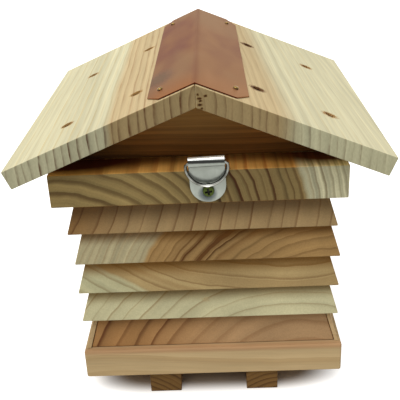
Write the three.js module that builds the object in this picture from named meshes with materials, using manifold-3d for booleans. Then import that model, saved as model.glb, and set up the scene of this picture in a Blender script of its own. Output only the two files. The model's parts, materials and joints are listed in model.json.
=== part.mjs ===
// A wooden birdhouse in the shape of an old double-walled beehive. Five splayed lifts, each sawn
// from one thick board with its middle cut out, stand on a base board with two batten feet. An
// eaves board closes the stack, and a shallow gabled roof with a copper ridge cap lifts off it.
// The hanger ring is on the back (-Y) and the birds go in at the front (+Y).
// Millimetres, +Z up. The origin is on the ground under the middle of the roof.

import * as THREE from 'three';
import { mergeVertices } from 'three/addons/utils/BufferGeometryUtils.js';
import Module from 'manifold-3d';

const wasm = await Module();
wasm.setup();

// Clearances
const SEAT_GAP = 0.3; // between pieces that are glued together or rest on each other
const FIXING_GAP = 0.3; // between a screw or pin and the hole it sits in
const LOCATING_GAP = 1; // between the roof's battens and the opening they drop into

// Lifts, from the top one down
const BOARD = 23.7; // thickness of the boards in the lifts, the base and the eaves
const LIFT_WIDTH = 188; // across the lower edge
const LIFT_DEPTH = 180;
const LIFT_SPLAY = 7; // how far each face leans out towards its lower edge
const SIDE_WALL = 36; // from the lower edge to the nest chamber
const END_WALL = 31;
const CHAMBER_CORNER = 10;
const ENTRANCE_DIAMETER = 32;
const CHEEK = 3; // strips beside the lowest lift
const LOWEST_LIFT_RECESS = 1; // of its ends behind the ends of the cheeks

// Base and feet
const BASE_SIDE_LEDGE = 2;
const BASE_END_LEDGE = 4;
const FOOT_WIDTH = 23.7;
const FOOT_HEIGHT = 18.7;
const FOOT_SPACING = 74;
const FOOT_SETBACK = 4.5; // from the base's ends

// Sideways place of each hand-set course
const BASE_SHIFT = 3.8;
const LIFT_2_SHIFT = 2.6;
const LIFT_3_SHIFT = 2.4;
const LIFT_4_SHIFT = 2.7;
const LIFT_SHIFTS = [0, LIFT_2_SHIFT, LIFT_3_SHIFT, LIFT_4_SHIFT, BASE_SHIFT]; // from the top lift down
const EAVES_SHIFT = -1;

// Eaves board, gables and roof
const EAVES_OVERHANG = 6; // beyond the lower edge of the lifts
const GABLE = 12;
const GABLE_PEAK = 46;
const GABLE_SIDE_SETBACK = 3;
const ROOF_SLOPE = THREE.MathUtils.degToRad(22.5);
const ROOF_BOARD = 13.5;
const ROOF_SIDE_OVERHANG = 27; // beyond the eaves board
const ROOF_BACK_OVERHANG = 12;
const ROOF_FRONT_OVERHANG = 46;
const BATTEN = 10;
const BATTEN_HEIGHT = 18;
const BATTEN_DROP = 8;

// Ridge cap, measured down each slope from the ridge
const CAP_SHEET = 0.7;
const CAP_LEFT = 33;
const CAP_RIGHT = 36;
const CAP_SETBACK = 2; // from the roof's ends
const CAP_CLIP_ACROSS = 8.5;
const CAP_CLIP_ALONG = 12.5;
const CAP_PIN_EDGE = 8.7; // from a cap's long edge to its pins
const CAP_PIN_END = 20; // from a cap's end to its pins
const CAP_PIN_RADIUS = 0.7;
const CAP_PIN_LENGTH = 12;
const CAP_PIN_HEAD_RADIUS = 1.9;
const CAP_PIN_HEAD_HEIGHT = 1.1;
const CAP_PIN_HEAD_PROFILE = [[1, 0], [0.96, 0.35], [0.6, 0.85], [0, 1]]; // of its radius and height

// Countersunk wood screws in the roof
const ROOF_SCREW_RADIUS = 1.75;
const ROOF_SCREW_HEAD_RADIUS = 3.3;
const ROOF_SCREW_HEAD_HEIGHT = 2;
const ROOF_SCREW_LENGTH = 20;
const ROOF_SCREW_TIP = 4;
const ROOF_SCREW_SINK = 1;
const ROOF_SCREW_UPPER_ROW = 44.5; // down the slope from the ridge
const ROOF_SCREW_LOWER_ROW = 97.5;

// Countersunk wood screws in the stack
const SCREW_RADIUS = 2;
const SCREW_HEAD_RADIUS = 4;
const SCREW_HEAD_HEIGHT = 2.4;
const SCREW_TIP = 5;
const SCREW_SINK = 0.5;
const EAVES_SCREW_BITE = 17; // depth in the top lift
const EAVES_SCREW_SPACING = 90;
const FOOT_SCREW_BITE = 12; // depth in the lowest lift

// Hanger
const HANGER_OFFSET = 6.65; // of the screw from the middle of the eaves board
const HANGER_DROP = 1.5; // of the screw below the middle of the board's thickness
const HANGER_TILT = THREE.MathUtils.degToRad(1.9);
const STRAP_SHEET = 1;
const STRAP_FLARE = 6; // from the ring's bar to where the folded strap closes up
const STRAP_END_ABOVE_SCREW = 3.4; // the middle of its round end
const FOLD_RISE = 2.2; // room above the ring's bar in the strap's fold
const RING_WIRE_RADIUS = 1.15;
const RING_WIDTH = 30; // outside
const RING_DROP = 14.8; // from the bar's axis to the wire's at the bottom
const RING_CORNER = 1.6;
const RING_BAR_ABOVE_SCREW = 19.5;
const RING_WELD_RADIUS = 1.35;
const RING_WELD_LENGTH = 2.2;
const RING_JOINT_GAP = 0.5;
const RING_SIDE_GAP = 0.7; // between the strap's edges and the ring's sides
const PAN_HEAD_RADIUS = 4;
const PAN_HEAD_HEIGHT = 2.6;
const PAN_HEAD_PROFILE = [[1, 0], [1, 0.4], [0.88, 0.8], [0.55, 1], [0, 1]]; // of its radius and height
const HANGER_SCREW_LENGTH = 20;
const HANGER_SCREW_HOLE_GAP = 0.4;

// Facets
const ROUND = 20;
const HOLE_ROUND = 40;
const WIRE_ROUND = 12;
const CORNER_ROUND = 5;
const RING_ARC_STEPS = 12;
const MERGE_DISTANCE = 1e-4;

// Sizes and heights that follow from those above
const PITCH = BOARD + SEAT_GAP;
const CHAMBER_WIDTH = LIFT_WIDTH - 2 * SIDE_WALL;
const CHAMBER_DEPTH = LIFT_DEPTH - 2 * END_WALL;
const BASE_WIDTH = LIFT_WIDTH + 2 * BASE_SIDE_LEDGE;
const BASE_DEPTH = LIFT_DEPTH + 2 * BASE_END_LEDGE;
const EAVES_WIDTH = LIFT_WIDTH + 2 * EAVES_OVERHANG;
const EAVES_DEPTH = LIFT_DEPTH + 2 * EAVES_OVERHANG;
const ROOF_HALF_WIDTH = EAVES_WIDTH / 2 + ROOF_SIDE_OVERHANG;
const ROOF_DEPTH = EAVES_DEPTH + ROOF_BACK_OVERHANG + ROOF_FRONT_OVERHANG;
const STACK_Y = (ROOF_BACK_OVERHANG - ROOF_FRONT_OVERHANG) / 2;
const BASE_Z = FOOT_HEIGHT + SEAT_GAP;
const LOWEST_LIFT_Z = BASE_Z + PITCH;
const EAVES_Z = LOWEST_LIFT_Z + LIFT_SHIFTS.length * PITCH;
const ROOF_Z = EAVES_Z + PITCH;
const EAVES_SCREW_LENGTH = BOARD - SCREW_SINK + SEAT_GAP + EAVES_SCREW_BITE;
const EAVES_SCREW_HEAD_Z = ROOF_Z - SEAT_GAP - SCREW_SINK;
const FOOT_SCREW_LENGTH = LOWEST_LIFT_Z - SCREW_SINK + FOOT_SCREW_BITE;
const STRAP_WIDTH = RING_WIDTH - 2 * (2 * RING_WIRE_RADIUS + RING_SIDE_GAP);
const GABLE_HALF_WIDTH = EAVES_WIDTH / 2 - GABLE_SIDE_SETBACK;
const GABLE_INNER_Y = CHAMBER_DEPTH / 2 - LOCATING_GAP;
const RIDGE_Z = GABLE_PEAK + (SEAT_GAP + ROOF_BOARD) / Math.cos(ROOF_SLOPE); // above ROOF_Z
const CAP_LIFT = SEAT_GAP + CAP_SHEET; // of the cap's upper face off the roof boards

const WOOD = { roughness: 0.75, metalness: 0 };
const BRIGHT_METAL = { roughness: 0.35, metalness: 1 };

// --- helpers for geometry ------------------------------------------------------------------

function toSolid(geometry) {
  const bare = geometry.clone();
  bare.deleteAttribute('normal');
  bare.deleteAttribute('uv');
  const merged = mergeVertices(bare, MERGE_DISTANCE);
  const corners = merged.index.array;
  const kept = [];
  for (let i = 0; i < corners.length; i += 3) {
    const [a, b, c] = [corners[i], corners[i + 1], corners[i + 2]];
    if (a !== b && b !== c && c !== a) {
      kept.push(a, b, c);
    }
  }
  return new wasm.Manifold(new wasm.Mesh({
    numProp: 3,
    vertProperties: new Float32Array(merged.attributes.position.array),
    triVerts: new Uint32Array(kept),
  }));
}

function toGeometry(solid) {
  const mesh = solid.getMesh();
  const geometry = new THREE.BufferGeometry();
  geometry.setAttribute('position', new THREE.BufferAttribute(mesh.vertProperties, 3));
  geometry.setIndex(new THREE.BufferAttribute(mesh.triVerts, 1));
  geometry.computeVertexNormals();
  return geometry;
}

function cut(geometry, cutters) {
  let solid = toSolid(geometry);
  for (const cutter of cutters) {
    solid = solid.subtract(toSolid(cutter));
  }
  return toGeometry(solid);
}

// A block standing on z = 0
function block(width, depth, height) {
  return new THREE.BoxGeometry(width, depth, height).translate(0, 0, height / 2);
}

// The same, with all four sides leaning in by splay towards the top
function splayedBlock(width, depth, height, splay) {
  const geometry = block(width, depth, height);
  const place = geometry.attributes.position;
  for (let i = 0; i < place.count; i += 1) {
    if (place.getZ(i) > 0) {
      place.setX(i, place.getX(i) * (1 - (2 * splay) / width));
      place.setY(i, place.getY(i) * (1 - (2 * splay) / depth));
    }
  }
  return geometry;
}

function outline(points) {
  return new THREE.Shape(points.map(([x, y]) => new THREE.Vector2(x, y)));
}

// An outline in X and Z, carried along Y and centred on it
function prismAlongY(shape, length, curveSegments = CORNER_ROUND) {
  const options = { depth: length, bevelEnabled: false, curveSegments };
  return new THREE.ExtrudeGeometry(shape, options).rotateX(Math.PI / 2).translate(0, length / 2, 0);
}

// A solid turned about Z from a profile of [radius, height] points
function turned(profile) {
  const points = profile.map(([radius, height]) => new THREE.Vector2(radius, height));
  return new THREE.LatheGeometry(points, ROUND).rotateX(Math.PI / 2);
}

function addPiece(parent, name, geometry, color, finish) {
  const material = new THREE.MeshStandardMaterial({ color, ...finish });
  const mesh = new THREE.Mesh(geometry, material);
  mesh.name = name;
  parent.add(mesh);
  return mesh;
}

// --- fixings ---------------------------------------------------------------------------------

const STACK_SCREW = {
  radius: SCREW_RADIUS,
  headRadius: SCREW_HEAD_RADIUS,
  headHeight: SCREW_HEAD_HEIGHT,
  tip: SCREW_TIP,
  sink: SCREW_SINK,
};
const ROOF_SCREW = {
  radius: ROOF_SCREW_RADIUS,
  headRadius: ROOF_SCREW_HEAD_RADIUS,
  headHeight: ROOF_SCREW_HEAD_HEIGHT,
  tip: ROOF_SCREW_TIP,
  sink: ROOF_SCREW_SINK,
};

// The side of a countersunk wood screw, tip down, up to its head's rim at z = 0
function screwSide(screw, length, gap) {
  const radius = screw.radius + gap;
  return [
    [0, -length - gap],
    [radius, screw.tip - length - gap],
    [radius, -screw.headHeight - gap],
    [screw.headRadius + gap, 0],
  ];
}

function countersunkScrew(screw, length) {
  return turned([...screwSide(screw, length, 0), [0, 0]]);
}

// Its hole, open above the head
function countersunkHole(screw, length) {
  const top = screw.sink + FIXING_GAP;
  const rim = screw.headRadius + FIXING_GAP;
  return turned([...screwSide(screw, length, FIXING_GAP), [rim, top], [0, top]]);
}

function headProfile(fractions, radius, height) {
  return fractions.map(([across, up]) => [across * radius, up * height]);
}

// Places in the stack's own frame, where x = 0 and y = 0 are the middle of the top lift
function eavesScrewPlaces() {
  const x = CHAMBER_WIDTH / 2 + (SIDE_WALL - LIFT_SPLAY) / 2;
  const y = EAVES_SCREW_SPACING / 2;
  return [[-x, -y], [x, -y], [-x, y], [x, y]];
}

function footScrewPlaces() {
  const x = FOOT_SPACING / 2;
  const y = CHAMBER_DEPTH / 2 + (END_WALL - LOWEST_LIFT_RECESS - LIFT_SPLAY) / 2;
  return [[-x, -y], [x, -y], [-x, y], [x, y]].map(([sx, sy]) => [BASE_SHIFT + sx, sy]);
}

// Cutters for the screws in a piece whose own frame sits at (shift, 0, z) in the stack
function eavesScrewCutters(shift, z) {
  return eavesScrewPlaces().map(([x, y]) => (
    countersunkHole(STACK_SCREW, EAVES_SCREW_LENGTH).translate(x - shift, y, EAVES_SCREW_HEAD_Z - z)
  ));
}

function footScrewCutters(shift, z) {
  return footScrewPlaces().map(([x, y]) => {
    const hole = countersunkHole(STACK_SCREW, FOOT_SCREW_LENGTH).rotateX(Math.PI);
    return hole.translate(x - shift, y, SCREW_SINK - z);
  });
}

// --- the stack of lifts, base and eaves board ------------------------------------------------

// The opening sawn through a board for the nest chamber, a little longer than the board is thick
function chamberCutter() {
  const x = CHAMBER_WIDTH / 2;
  const y = CHAMBER_DEPTH / 2;
  const r = CHAMBER_CORNER;
  const shape = new THREE.Shape();
  shape.absarc(x - r, y - r, r, 0, Math.PI / 2);
  shape.absarc(-x + r, y - r, r, Math.PI / 2, Math.PI);
  shape.absarc(-x + r, -y + r, r, Math.PI, 1.5 * Math.PI);
  shape.absarc(x - r, -y + r, r, 1.5 * Math.PI, 2 * Math.PI);
  const depth = 3 * BOARD;
  const options = { depth, bevelEnabled: false, curveSegments: CORNER_ROUND };
  return new THREE.ExtrudeGeometry(shape, options).translate(0, 0, -BOARD);
}

// The entrance is bored through the front wall on the joint between the two top lifts
function entranceCutter(shift, z) {
  const radius = ENTRANCE_DIAMETER / 2;
  const jointZ = EAVES_Z - PITCH - SEAT_GAP / 2;
  const bore = new THREE.CylinderGeometry(radius, radius, LIFT_DEPTH, HOLE_ROUND);
  return bore.translate(-shift, LIFT_DEPTH / 2, jointZ - z);
}

function liftBlock(width, depth) {
  return splayedBlock(width, depth, BOARD, LIFT_SPLAY);
}

function liftCutters(number, shift, z) {
  const cutters = [chamberCutter()];
  if (number === 1) {
    cutters.push(...eavesScrewCutters(shift, z));
  }
  if (number <= 2) {
    cutters.push(entranceCutter(shift, z));
  }
  return cutters;
}

function addLifts(stack) {
  const colors = [0xa98a63, 0xb08c60, 0xb39a6c, 0xb9b082];
  colors.forEach((color, i) => {
    const number = i + 1;
    const shift = LIFT_SHIFTS[i];
    const z = EAVES_Z - number * PITCH;
    const geometry = cut(liftBlock(LIFT_WIDTH, LIFT_DEPTH), liftCutters(number, shift, z));
    addPiece(stack, `lift_${number}`, geometry, color, WOOD).position.set(shift, 0, z);
  });
}

// The lowest lift is narrower, and a thin strip on each side makes up its width
function addLowestLift(stack) {
  const width = LIFT_WIDTH - 2 * (CHEEK + SEAT_GAP);
  const depth = LIFT_DEPTH - 2 * LOWEST_LIFT_RECESS;
  const cutters = [chamberCutter(), ...footScrewCutters(BASE_SHIFT, LOWEST_LIFT_Z)];
  const geometry = cut(liftBlock(width, depth), cutters);
  addPiece(stack, 'lift_5', geometry, 0x94653f, WOOD).position.set(BASE_SHIFT, 0, LOWEST_LIFT_Z);
  for (const [side, x] of [['left', -1], ['right', 1]]) {
    const cheek = cheekGeometry(x);
    const mesh = addPiece(stack, `lift_5_cheek_${side}`, cheek, 0xb8996f, WOOD);
    mesh.position.set(BASE_SHIFT, 0, LOWEST_LIFT_Z);
  }
}

function cheekGeometry(side) {
  const inside = LIFT_WIDTH / 2 - CHEEK;
  const reach = LIFT_WIDTH;
  const far = -side * reach;
  const core = outline([
    [far, -BOARD],
    [side * (inside + LIFT_SPLAY), -BOARD],
    [side * (inside - 2 * LIFT_SPLAY), 2 * BOARD],
    [far, 2 * BOARD],
  ]);
  return cut(liftBlock(LIFT_WIDTH, LIFT_DEPTH), [prismAlongY(core, 2 * LIFT_DEPTH)]);
}

function addBase(stack) {
  const cutters = footScrewCutters(BASE_SHIFT, BASE_Z);
  const geometry = cut(block(BASE_WIDTH, BASE_DEPTH, BOARD), cutters);
  addPiece(stack, 'base_board', geometry, 0xb8996f, WOOD).position.set(BASE_SHIFT, 0, BASE_Z);
}

function addFeet(stack) {
  for (const [side, x] of [['left', -1], ['right', 1]]) {
    const shift = BASE_SHIFT + (x * FOOT_SPACING) / 2;
    const foot = block(FOOT_WIDTH, BASE_DEPTH - 2 * FOOT_SETBACK, FOOT_HEIGHT);
    const geometry = cut(foot, footScrewCutters(shift, 0));
    addPiece(stack, `foot_${side}`, geometry, 0x7a5a3c, WOOD).position.set(shift, 0, 0);
  }
  footScrewPlaces().forEach(([x, y], i) => {
    const screw = countersunkScrew(STACK_SCREW, FOOT_SCREW_LENGTH);
    const mesh = addPiece(stack, `foot_screw_${i + 1}`, screw, 0xb5a878, BRIGHT_METAL);
    mesh.rotation.x = Math.PI;
    mesh.position.set(x, y, SCREW_SINK);
  });
}

function addEavesBoard(stack) {
  const cutters = [chamberCutter(), ...eavesScrewCutters(EAVES_SHIFT, EAVES_Z), hangerScrewCutter()];
  const geometry = cut(block(EAVES_WIDTH, EAVES_DEPTH, BOARD), cutters);
  addPiece(stack, 'eaves_board', geometry, 0x9a7a52, WOOD).position.set(EAVES_SHIFT, 0, EAVES_Z);
  eavesScrewPlaces().forEach(([x, y], i) => {
    const screw = countersunkScrew(STACK_SCREW, EAVES_SCREW_LENGTH);
    const mesh = addPiece(stack, `eaves_screw_${i + 1}`, screw, 0xb5a878, BRIGHT_METAL);
    mesh.position.set(x, y, EAVES_SCREW_HEAD_Z);
  });
}

// --- the hanger on the back of the eaves board -----------------------------------------------
// Its frame has x = 0 in the middle of the strap, y = 0 on the board's face with -Y outwards, and
// z = 0 at the screw.

const STRAP_BACK = -SEAT_GAP;
const STRAP_FRONT = STRAP_BACK - 2 * STRAP_SHEET;
const BAR_HOLE_RADIUS = RING_WIRE_RADIUS + FIXING_GAP;
const BARREL_RADIUS = BAR_HOLE_RADIUS + STRAP_SHEET;
const BAR_Y = STRAP_BACK - BARREL_RADIUS;
const PAN_HEAD_BACK = STRAP_FRONT - SEAT_GAP;
const HANGER_SCREW_Z = BOARD / 2 - HANGER_DROP; // above the underside of the eaves board

function hangerScrewCutter() {
  const radius = SCREW_RADIUS + FIXING_GAP;
  const length = HANGER_SCREW_LENGTH + FIXING_GAP;
  const hole = new THREE.CylinderGeometry(radius, radius, 2 * length, ROUND);
  return hole.translate(HANGER_OFFSET, -EAVES_DEPTH / 2, HANGER_SCREW_Z);
}

// A strap folded double round the ring's bar, with a round lower end
function hangerPlateGeometry() {
  const half = STRAP_WIDTH / 2;
  const shape = new THREE.Shape();
  shape.moveTo(half, RING_BAR_ABOVE_SCREW);
  shape.lineTo(-half, RING_BAR_ABOVE_SCREW);
  shape.absarc(0, STRAP_END_ABOVE_SCREW, half, Math.PI, 2 * Math.PI);
  const middle = (STRAP_BACK + STRAP_FRONT) / 2;
  const sheet = prismAlongY(shape, STRAP_BACK - STRAP_FRONT, ROUND / 2).translate(0, middle, 0);
  const radius = SCREW_RADIUS + HANGER_SCREW_HOLE_GAP;
  const screwHole = new THREE.CylinderGeometry(radius, radius, 4 * STRAP_SHEET, ROUND);
  screwHole.translate(0, middle, 0);
  const fold = foldPrism(BARREL_RADIUS, STRAP_WIDTH);
  const solid = toSolid(sheet).add(toSolid(fold)).add(toSolid(strapFlare()));
  const inside = foldPrism(BAR_HOLE_RADIUS, 2 * STRAP_WIDTH);
  return toGeometry(solid.subtract(toSolid(inside)).subtract(toSolid(screwHole)));
}

// The strap's fold, or the room inside it: round under the ring's bar and again above it
function foldPrism(radius, length) {
  const shape = new THREE.Shape();
  shape.absarc(BAR_Y, RING_BAR_ABOVE_SCREW + FOLD_RISE, radius, 0, Math.PI);
  shape.absarc(BAR_Y, RING_BAR_ABOVE_SCREW, radius, Math.PI, 2 * Math.PI);
  return prismAlongY(shape, length, ROUND / 2).rotateZ(Math.PI / 2);
}

// The wedge where the strap's front layer runs in from the fold to the back one
function strapFlare() {
  const wedge = outline([
    [STRAP_BACK, RING_BAR_ABOVE_SCREW],
    [STRAP_BACK, RING_BAR_ABOVE_SCREW - STRAP_FLARE],
    [STRAP_FRONT, RING_BAR_ABOVE_SCREW - STRAP_FLARE],
    [BAR_Y - BARREL_RADIUS, RING_BAR_ABOVE_SCREW],
  ]);
  return prismAlongY(wedge, STRAP_WIDTH).rotateZ(Math.PI / 2);
}

// Half the centre line of a D-ring, from the joint at the bottom to just past the middle of its bar
function ringHalf(side) {
  const halfWidth = RING_WIDTH / 2 - RING_WIRE_RADIUS;
  const start = RING_JOINT_GAP / (2 * halfWidth);
  const points = [];
  for (let i = 0; i <= RING_ARC_STEPS; i += 1) {
    const turn = start + (Math.PI / 2 - start) * (i / RING_ARC_STEPS);
    const x = side * halfWidth * Math.sin(turn);
    points.push(new THREE.Vector3(x, 0, -RING_CORNER - (RING_DROP - RING_CORNER) * Math.cos(turn)));
  }
  for (let i = 1; i <= CORNER_ROUND; i += 1) {
    const turn = (Math.PI / 2) * (i / CORNER_ROUND);
    const x = side * (halfWidth - RING_CORNER + RING_CORNER * Math.cos(turn));
    points.push(new THREE.Vector3(x, 0, RING_CORNER * (Math.sin(turn) - 1)));
  }
  points.push(new THREE.Vector3(-side * RING_CORNER, 0, 0));
  return new THREE.CatmullRomCurve3(points, false, 'centripetal');
}

// A D-ring of round wire, with its bar on the X axis, closed by a weld at the bottom
function ringGeometry() {
  const section = new THREE.Shape().absarc(0, 0, RING_WIRE_RADIUS, 0, 2 * Math.PI);
  const [left, right] = [-1, 1].map((side) => toSolid(new THREE.ExtrudeGeometry(section, {
    steps: 2 * RING_ARC_STEPS,
    extrudePath: ringHalf(side),
    curveSegments: WIRE_ROUND / 2,
  })));
  const weld = new THREE.CylinderGeometry(RING_WELD_RADIUS, RING_WELD_RADIUS, RING_WELD_LENGTH, ROUND);
  weld.rotateZ(Math.PI / 2).translate(0, 0, -RING_DROP);
  return toGeometry(left.add(right).add(toSolid(weld)));
}

// Pan-head screw with its head's underside at z = 0
function panScrewGeometry() {
  return turned([
    [0, -HANGER_SCREW_LENGTH],
    [SCREW_RADIUS, -HANGER_SCREW_LENGTH + SCREW_TIP],
    [SCREW_RADIUS, 0],
    ...headProfile(PAN_HEAD_PROFILE, PAN_HEAD_RADIUS, PAN_HEAD_HEIGHT),
  ]);
}

// At rest the ring hangs down until its wire meets the rim or the face of the screw's head
function ringLean() {
  const reach = RING_WIRE_RADIUS + SEAT_GAP;
  const head = headProfile(PAN_HEAD_PROFILE, PAN_HEAD_RADIUS, PAN_HEAD_HEIGHT);
  const rimLeans = head.map(([radius, height]) => {
    const out = BAR_Y - PAN_HEAD_BACK + height;
    const down = RING_BAR_ABOVE_SCREW - radius;
    const span = Math.hypot(out, down);
    const swing = (span ** 2 + RING_DROP ** 2 - reach ** 2) / (2 * span * RING_DROP);
    return Math.atan2(out, down) + Math.acos(Math.min(1, swing));
  });
  const faceLean = Math.asin((BAR_Y - PAN_HEAD_BACK + PAN_HEAD_HEIGHT + reach) / RING_DROP);
  return Math.min(faceLean, Math.max(...rimLeans));
}

function addHanger(stack) {
  const hanger = new THREE.Group();
  hanger.position.set(EAVES_SHIFT + HANGER_OFFSET, -EAVES_DEPTH / 2, EAVES_Z + HANGER_SCREW_Z);
  hanger.rotation.y = -HANGER_TILT;
  stack.add(hanger);
  addPiece(hanger, 'hanger_plate', hangerPlateGeometry(), 0xb4b8b2, BRIGHT_METAL);
  const ring = addPiece(hanger, 'hanger_ring', ringGeometry(), 0xc9c9c6, BRIGHT_METAL);
  ring.position.set(0, BAR_Y, RING_BAR_ABOVE_SCREW);
  ring.rotation.x = -ringLean();
  const screw = addPiece(hanger, 'hanger_screw', panScrewGeometry(), 0xa3a457, BRIGHT_METAL);
  screw.rotation.x = Math.PI / 2;
  screw.position.y = PAN_HEAD_BACK;
}

// --- the lift-off roof -----------------------------------------------------------------------
// Its frame has z = 0 at the foot of the gables. Places on a slope are given by the side (-1 left,
// 1 right), the distance down from the ridge, the place along Y and the lift off the boards.

function slopePoint(side, down, lift) {
  const x = side * (down * Math.cos(ROOF_SLOPE) + lift * Math.sin(ROOF_SLOPE));
  const z = RIDGE_Z - down * Math.sin(ROOF_SLOPE) + lift * Math.cos(ROOF_SLOPE);
  return [x, z];
}

function ridgePoint(lift) {
  return [0, RIDGE_Z + lift / Math.cos(ROOF_SLOPE)];
}

// Lays a geometry made round z = 0 on a slope
function onSlope(geometry, side, down, y, lift = 0) {
  const [x, z] = slopePoint(side, down, lift);
  return geometry.rotateY(side * ROOF_SLOPE).translate(x, y, z);
}

function placeOnSlope(mesh, side, down, y, lift) {
  const [x, z] = slopePoint(side, down, lift);
  mesh.rotation.y = side * ROOF_SLOPE;
  mesh.position.set(x, y, z);
}

// The roof screws go down through the roof boards into the middle of each gable
function roofScrewPlaces(side) {
  const y = GABLE_INNER_Y + GABLE / 2;
  const rows = [ROOF_SCREW_UPPER_ROW, ROOF_SCREW_LOWER_ROW];
  return [-y, y].flatMap((along) => rows.map((down) => [side, down, along]));
}

function roofScrewCutter([side, down, along]) {
  const hole = countersunkHole(ROOF_SCREW, ROOF_SCREW_LENGTH);
  return onSlope(hole, side, down, along + STACK_Y, -ROOF_SCREW_SINK);
}

function capPinPlaces(side) {
  const down = (side < 0 ? CAP_LEFT : CAP_RIGHT) - CAP_PIN_EDGE;
  const y = ROOF_DEPTH / 2 - CAP_SETBACK - CAP_PIN_END;
  return [[side, down, -y], [side, down, y]];
}

function capPinGeometry() {
  return turned([
    [0, -CAP_PIN_LENGTH],
    [CAP_PIN_RADIUS, -CAP_PIN_LENGTH + 2 * CAP_PIN_RADIUS],
    [CAP_PIN_RADIUS, 0],
    ...headProfile(CAP_PIN_HEAD_PROFILE, CAP_PIN_HEAD_RADIUS, CAP_PIN_HEAD_HEIGHT),
  ]);
}

function capPinCutter([side, down, along]) {
  const length = 2 * (CAP_PIN_LENGTH + FIXING_GAP);
  const radius = CAP_PIN_RADIUS + FIXING_GAP;
  const hole = new THREE.CylinderGeometry(radius, radius, length, WIRE_ROUND).rotateX(Math.PI / 2);
  return onSlope(hole, side, down, along, SEAT_GAP + CAP_LIFT);
}

function addRoofBoards(roof) {
  const lower = ROOF_HALF_WIDTH / Math.cos(ROOF_SLOPE);
  for (const [name, side] of [['left', -1], ['right', 1]]) {
    const joint = (side * SEAT_GAP) / 2;
    const jointDrop = Math.abs(joint) * Math.tan(ROOF_SLOPE);
    const board = prismAlongY(outline([
      [joint, ridgePoint(0)[1] - jointDrop],
      [joint, ridgePoint(-ROOF_BOARD)[1] - jointDrop],
      slopePoint(side, lower, -ROOF_BOARD),
      slopePoint(side, lower, 0),
    ]), ROOF_DEPTH);
    const screws = roofScrewPlaces(side).map(roofScrewCutter);
    const pins = capPinPlaces(side).map(capPinCutter);
    addPiece(roof, `roof_board_${name}`, cut(board, [...screws, ...pins]), 0xd8c79a, WOOD);
  }
}

function addGables(roof) {
  const drop = GABLE_HALF_WIDTH * Math.tan(ROOF_SLOPE);
  const shape = outline([
    [-GABLE_HALF_WIDTH, 0],
    [GABLE_HALF_WIDTH, 0],
    [GABLE_HALF_WIDTH, GABLE_PEAK - drop],
    [0, GABLE_PEAK],
    [-GABLE_HALF_WIDTH, GABLE_PEAK - drop],
  ]);
  const cutters = [-1, 1].flatMap((side) => roofScrewPlaces(side).map(roofScrewCutter));
  for (const [name, end] of [['back', -1], ['front', 1]]) {
    const y = STACK_Y + end * (GABLE_INNER_Y + GABLE / 2);
    const moved = cutters.map((cutter) => cutter.clone().translate(0, -y, 0));
    const geometry = cut(prismAlongY(shape, GABLE), moved);
    addPiece(roof, `gable_${name}`, geometry, 0x7b5433, WOOD).position.y = y;
  }
}

// Battens glued to the gables' inner faces, which drop into the opening of the eaves board
function addBattens(roof) {
  const length = CHAMBER_WIDTH - 2 * CHAMBER_CORNER;
  for (const [name, end] of [['back', -1], ['front', 1]]) {
    const batten = block(length, BATTEN, BATTEN_HEIGHT);
    const mesh = addPiece(roof, `locating_batten_${name}`, batten, 0xc2a877, WOOD);
    const y = STACK_Y + end * (GABLE_INNER_Y - SEAT_GAP - BATTEN / 2);
    mesh.position.set(EAVES_SHIFT, y, -BATTEN_DROP);
  }
}

function addRoofScrews(roof) {
  for (const [name, side] of [['left', -1], ['right', 1]]) {
    roofScrewPlaces(side).forEach(([, down, along], i) => {
      const screw = countersunkScrew(ROOF_SCREW, ROOF_SCREW_LENGTH);
      const mesh = addPiece(roof, `roof_screw_${name}_${i + 1}`, screw, 0xb5a878, BRIGHT_METAL);
      placeOnSlope(mesh, side, down, along + STACK_Y, -ROOF_SCREW_SINK);
    });
  }
}

// The clipped corners, each a wedge standing on the cap's plan
function capClipCutters() {
  const endY = ROOF_DEPTH / 2 - CAP_SETBACK;
  return [[-1, CAP_LEFT], [1, CAP_RIGHT]].flatMap(([side, width]) => [-1, 1].map((end) => {
    const edgeX = width * Math.cos(ROOF_SLOPE);
    const clipX = CAP_CLIP_ACROSS * Math.cos(ROOF_SLOPE);
    const corners = [
      [side * (edgeX - clipX), end * endY],
      [side * (edgeX - clipX), end * (endY + CAP_CLIP_ALONG)],
      [side * (edgeX + clipX), end * (endY + CAP_CLIP_ALONG)],
      [side * (edgeX + clipX), end * (endY - 2 * CAP_CLIP_ALONG)],
    ];
    const height = 2 * RIDGE_Z;
    return new THREE.ExtrudeGeometry(outline(corners), { depth: height, bevelEnabled: false });
  }));
}

function addRidgeCap(roof) {
  const shape = outline([
    slopePoint(1, CAP_RIGHT, SEAT_GAP),
    slopePoint(1, CAP_RIGHT, CAP_LIFT),
    ridgePoint(CAP_LIFT),
    slopePoint(-1, CAP_LEFT, CAP_LIFT),
    slopePoint(-1, CAP_LEFT, SEAT_GAP),
    ridgePoint(SEAT_GAP),
  ]);
  const pins = [-1, 1].flatMap((side) => capPinPlaces(side));
  const sheet = prismAlongY(shape, ROOF_DEPTH - 2 * CAP_SETBACK);
  const geometry = cut(sheet, [...capClipCutters(), ...pins.map(capPinCutter)]);
  addPiece(roof, 'ridge_cap', geometry, 0x8f5b46, { roughness: 0.45, metalness: 1 });
  pins.forEach(([side, down, along]) => {
    const end = along < 0 ? 'back' : 'front';
    const name = `cap_pin_${end}_${side < 0 ? 'left' : 'right'}`;
    const mesh = addPiece(roof, name, capPinGeometry(), 0xb08d4a, BRIGHT_METAL);
    placeOnSlope(mesh, side, down, along, SEAT_GAP + CAP_LIFT);
  });
}

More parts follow.
